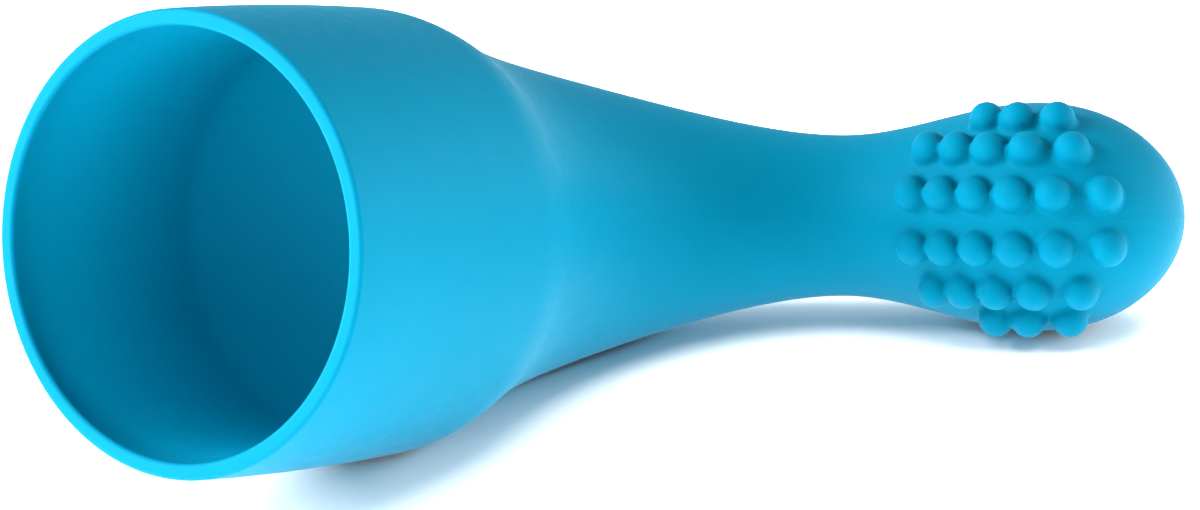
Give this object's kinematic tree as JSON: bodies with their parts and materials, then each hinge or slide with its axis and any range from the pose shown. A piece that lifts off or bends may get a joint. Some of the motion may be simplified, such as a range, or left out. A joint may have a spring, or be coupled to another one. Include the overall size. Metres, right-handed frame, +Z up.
{
  "type": "massager cap",
  "caption": "Soft slip-on cap with a wide open socket, a tapering neck that flexes, and a curved round head with rows of small nubs on its inner side.",
  "frame": {"origin": "middle of the part's outline seen from above, at the height of the surface it lies on", "axes": "+Z up; +X runs from the mouth of the socket towards the head, in the plan view; -Y is the side the head curves to"},
  "size_m": [0.1303, 0.1193, 0.0683],
  "materials": {
    "silicone": "matte cast silicone, faintly satin, evenly coloured right through"
  },
  "bodies": {
    "sleeve": {"mouth_rim": "silicone", "cup_wall": "silicone", "socket_shoulder": "silicone", "neck_root": "silicone"},
    "head": {"neck_waist": "silicone", "head_throat": "silicone", "head_bulb": "silicone", "head_tip": "silicone", "nub_row_1": "silicone", "nub_row_2": "silicone", "nub_row_3": "silicone", "nub_row_4": "silicone", "nub_row_5": "silicone", "nub_row_6": "silicone"}
  },
  "joints": [
    {"name": "neck_flex", "type": "hinge", "parent": "sleeve", "child": "head", "pos_m": [0.0387, 0.00452, 0.01609], "axis": [0.2499, 0.0637, 0.9662], "range_deg": [-25, 25], "stiffness_Nm_per_rad": 1.3, "deforming": ["neck_waist"]}
  ]
}
